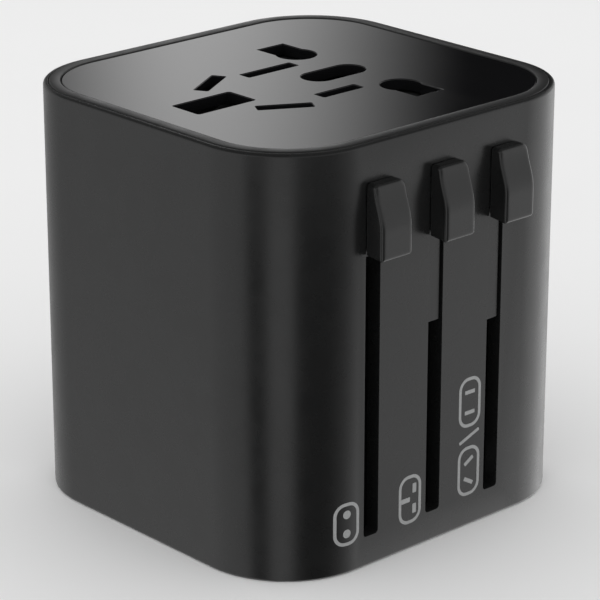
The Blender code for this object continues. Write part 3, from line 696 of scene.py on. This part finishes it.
def make_signs():
    """One sign beside each slot: the pins that the slider brings out."""
    height, z = ROUND_SIGN
    dots = [arc((0, side * DOT_Z), DOT_RADIUS, 0, 350, 35) for side in SIDES]
    print_sign("sign_round_pins", [plug_frame((0, 0), (SIGN_WIDE, height))], dots, "eu_knob", z)

    height, z = BAR_SIGN
    bars = [centred(-BAR_X, 0, EARTH_BAR, BAR_CORNER)]
    bars += [centred(BAR_X, side * BAR_Z, LIVE_BAR, BAR_CORNER) for side in SIDES]
    print_sign("sign_bar_pins", [plug_frame((0, 0), (SIGN_WIDE, height))], bars, "uk_knob", z)

    height, z = BLADE_SIGN
    frames = [plug_frame((0, middle), (SIGN_WIDE, height)) for middle in (-BLADES_Z, BLADES_Z)]
    blades = [centred(0, BLADES_Z + side * BAR_Z, BLADE, BLADE_CORNER) for side in SIDES]
    for side in SIDES:
        middle = (0, side * BAR_Z - BLADES_Z)
        blade = centred(*middle, BLADE, BLADE_CORNER)
        blades.append(turned(blade, middle, side * SLANT))
    divider = centred(0, 0, STROKE_BETWEEN, BAR_CORNER)
    blades.append(turned(divider, (0, 0), STROKE_TURN))
    print_sign("sign_blades", frames, blades, "us_knob", z)


# ---------------------------------------------------------------- pins

PIN_CHAMFER = 0.2
PIN_DOME = 0.75                 # height of a pin's domed tip, as a share of its radius


def make_round_pin(node, name):
    """A turned pin with a domed tip and a chamfered top."""
    low, high = span(node)
    radius = (high[0] - low[0]) / 2
    centre = ((low[0] + high[0]) / 2, (low[1] + high[1]) / 2)
    nose = radius * PIN_DOME
    profile = [(0.0, high[2]), (radius - PIN_CHAMFER, high[2]), (radius, high[2] - PIN_CHAMFER)]
    profile += [(radius * math.cos(math.radians(turn)),
                 low[2] + nose - nose * math.sin(math.radians(turn)))
                for turn in range(0, 91, 9)]
    profile[-1] = (0.0, low[2])
    return stand_for(smooth(lathe(name, profile, centre), 50), node)


# ---------------------------------------------------------------- spring

SPRING_WIRE = 0.2
SPRING_TURNS = 6
SPRING_STEPS = 36               # rings in each turn
SPRING_GAP = 0.12               # between the coil and the shutter's tab


def make_spring():
    """The shutter's coil, which shortens towards its fixed end as the shutter opens."""
    low, high = span("shutter_spring")
    radius = (high[2] - low[2]) / 2 - SPRING_WIRE
    middle = ((low[1] + high[1]) / 2, (low[2] + high[2]) / 2)
    length = high[0] - low[0] - SPRING_GAP
    end = high[0] - SPRING_WIRE
    start = high[0] - length + SPRING_WIRE
    along = Vector((1, 0, 0))
    count = SPRING_STEPS * SPRING_TURNS
    shape = bmesh.new()
    rings = []
    for step in range(count + 1):
        turn = 2 * math.pi * SPRING_TURNS * step / count
        outward = Vector((0, math.cos(turn), math.sin(turn)))
        centre = Vector((start + (end - start) * step / count, *middle)) + radius * outward
        rings.append([shape.verts.new(centre + x * outward + y * along)
                      for x, y in arc((0, 0), SPRING_WIRE, 0, 330, 11)])
    skin(shape, rings)
    shape.faces.new(rings[0])
    shape.faces.new(rings[-1])
    coil = stand_for(smooth(shape_object("shutter_coil", shape), 50), "shutter_spring")
    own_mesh(coil)


# ---------------------------------------------------------------- carried-over nodes

EDGE_WIDTHS = {"pin_metal": 0.12, "base": 0.15, "slider_plastic": 0.15, "inner_plastic": 0.15,
               "sleeve": 0.1, "contact_brass": 0.08, "screw_steel": 0.12, "fuse_ceramic": 0.1}
WELD = 0.002


def finish_cad_nodes():
    """Give every CAD node that still shows its finish and softened edges."""
    for node, obj in frame["nodes"].items():
        slot = NODE_SLOTS[node]
        dress(obj, SLOT_LOOKS[slot])
        if node in REPLACED or slot not in EDGE_WIDTHS:
            continue
        weld = obj.modifiers.new("weld", "WELD")
        weld.merge_threshold = WELD * MM
        round_edges(obj, EDGE_WIDTHS[slot], 50, 2)


# ---------------------------------------------------------------- studio

FLOOR_REACH = 4000.0            # from the middle to each edge


def make_floor():
    nodes = Nodes("pale_floor")
    tone = nodes.mix(nodes.noise(40.0, 2.0), (0.86, 0.86, 0.86), (0.88, 0.88, 0.88))
    nodes.set(Base_Color=tone, Roughness=0.9)
    shape = bmesh.new()
    bmesh.ops.create_grid(shape, x_segments=1, y_segments=1, size=FLOOR_REACH)
    floor = shape_object("floor", shape)
    dress(floor, nodes.material)
    floor.visible_glossy = False


# Panels of the studio round the object, as azimuth in degrees (0 is in front and 90 to the
# right) and brightness.  The block's walls mirror the low ones and its top the high ones.
LOW_PANELS = ((-180, 0.5), (-152, 0.55), (-142, 0.76), (-89, 0.82), (-82, 0.08), (-68, 0.1),
              (-59, 0.92), (-38, 0.9), (-29, 0.04), (8, 0.06), (26, 0.3), (44, 0.8), (52, 1.25),
              (62, 1.3), (72, 1.25), (90, 1.45), (103, 1.3), (119, 0.8), (137, 0.6), (180, 0.5))
HIGH_PANELS = ((-180, 0.5), (-100, 0.9), (-60, 0.6), (0, 0.5), (60, 0.9), (112, 0.7), (122, 0.0),
               (145, 0.0), (156, 0.4), (180, 0.5))
HORIZON_BLEND = 0.06
CEILING = 0.12                  # brightness above the panels
CEILING_RISE = (0.3, 0.5)       # where the panels fade into it, as the sine of the height
LIGHT_BOX = (133.7, 139.5, 139.6, 144.2)    # where the tall soft light starts, peaks and ends
LIGHT_BOX_LEVEL = 1.3
LIGHT_BOX_TOP = (0.34, 0.44)


class World:
    """Short calls for building the studio's node tree."""

    def __init__(self, name):
        world = bpy.data.worlds.new(name)
        bpy.context.scene.world = world
        world.use_nodes = True
        self.tree = world.node_tree
        self.backdrop = self.tree.nodes["Background"]

    def put(self, kind, inputs=(), **settings):
        """Add a node, with its inputs as numbers or as links."""
        made = self.tree.nodes.new(kind)
        for key, value in settings.items():
            setattr(made, key, value)
        for socket, value in inputs:
            if hasattr(value, "links"):
                self.tree.links.new(value, made.inputs[socket])
            else:
                made.inputs[socket].default_value = value
        return made

    def maths(self, operation, first, second):
        return self.put("ShaderNodeMath", ((0, first), (1, second)), operation=operation).outputs[0]

    def spread(self, value, start, end, low, high, way="LINEAR"):
        """Map start-end to low-high, held at both ends."""
        inputs = (("Value", value), ("From Min", start), ("From Max", end), ("To Min", low),
                  ("To Max", high))
        return self.put("ShaderNodeMapRange", inputs, interpolation_type=way).outputs["Result"]

    def blend(self, share, first, second):
        inputs = (("Factor", share), ("A", first), ("B", second))
        return self.put("ShaderNodeMix", inputs).outputs["Result"]

    def panels(self, azimuth, levels):
        """Brightness round the horizon, from a list of azimuths and levels."""
        brightest = 2.0
        curve = self.put("ShaderNodeFloatCurve",
                         (("Value", self.spread(azimuth, -180, 180, 0, 1)),))
        track = curve.mapping.curves[0]
        points = [((turn + 180) / 360, level / brightest) for turn, level in levels]
        track.points[0].location = points[0]
        track.points[1].location = points[-1]
        for place in points[1:-1]:
            track.points.new(*place)
        for point in track.points:
            point.handle_type = "VECTOR"
        curve.mapping.update()
        return self.maths("MULTIPLY", curve.outputs[0], brightest)


def make_world():
    """An even pale room for soft light, with brighter and darker panels for reflections."""
    studio = World("studio")
    coords = studio.put("ShaderNodeTexCoord")
    split = studio.put("ShaderNodeSeparateXYZ", ((0, coords.outputs["Generated"]),))
    ahead = studio.maths("MULTIPLY", split.outputs["Y"], -1.0)
    turn = studio.maths("ARCTAN2", split.outputs["X"], ahead)
    azimuth = studio.maths("MULTIPLY", turn, 180 / math.pi)
    low = studio.panels(azimuth, LOW_PANELS)
    rise = split.outputs["Z"]
    ceiling = studio.spread(rise, *CEILING_RISE, 0.0, 1.0)
    high = studio.blend(ceiling, studio.panels(azimuth, HIGH_PANELS), CEILING)
    start, peak, fall, end = LIGHT_BOX
    rising = studio.spread(azimuth, start, peak, 0.0, LIGHT_BOX_LEVEL, "SMOOTHSTEP")
    falling = studio.spread(azimuth, fall, end, 1.0, 0.0, "SMOOTHSTEP")
    box = studio.maths("MULTIPLY", rising, falling)
    box = studio.maths("MULTIPLY", box, studio.spread(rise, *LIGHT_BOX_TOP, 1.0, 0.0))
    high = studio.maths("ADD", high, box)
    above = studio.spread(rise, -HORIZON_BLEND, HORIZON_BLEND, 0.0, 1.0)
    mirrored = studio.blend(above, low, high)
    path = studio.put("ShaderNodeLightPath")
    level = studio.blend(path.outputs["Is Glossy Ray"], 1.0, mirrored)
    studio.tree.links.new(level, studio.backdrop.inputs["Strength"])
    studio.backdrop.inputs["Color"].default_value = (1.0, 1.0, 1.0, 1.0)


def aim(obj, azimuth, elevation, distance):
    """Place an object at those angles, looking at the middle of the case."""
    turn = math.radians(azimuth)
    rise = math.radians(elevation)
    back = Vector((math.sin(turn) * math.cos(rise), -math.cos(turn) * math.cos(rise),
                   math.sin(rise)))
    middle = Vector((0, 0, RIM_HIGH[2] / 2 * MM))
    obj.location = middle + back * distance
    obj.rotation_euler = (-back).to_track_quat("-Z", "Y").to_euler()


CAMERA_AZIMUTH = -42.66
CAMERA_ELEVATION = 19.915
CAMERA_DISTANCE = 0.3612
CAMERA_LENS = 170.76
CAMERA_SENSOR = 36.0
CAMERA_SHIFT = (0.0019, -0.03)


def make_camera():
    lens = bpy.data.cameras.new("camera")
    lens.lens = CAMERA_LENS
    lens.sensor_width = CAMERA_SENSOR
    lens.shift_x, lens.shift_y = CAMERA_SHIFT
    lens.clip_start = 0.01
    camera = bpy.data.objects.new("camera", lens)
    bpy.context.scene.collection.objects.link(camera)
    aim(camera, CAMERA_AZIMUTH, CAMERA_ELEVATION, CAMERA_DISTANCE)
    bpy.context.scene.camera = camera


# ---------------------------------------------------------------- build

make_shell()
make_rim()
make_face()
for node_name, piece_name in zip(KNOBS, ("thumb_knob_eu", "thumb_knob_uk", "thumb_knob_us")):
    make_knob(node_name, piece_name)
make_signs()
for node_name in ("eu_pin_left", "eu_pin_right"):
    make_round_pin(node_name, node_name.replace("eu_pin", "round_pin"))
make_spring()
finish_cad_nodes()
make_floor()
make_world()
make_camera()
bpy.context.scene.view_settings.view_transform = "Standard"
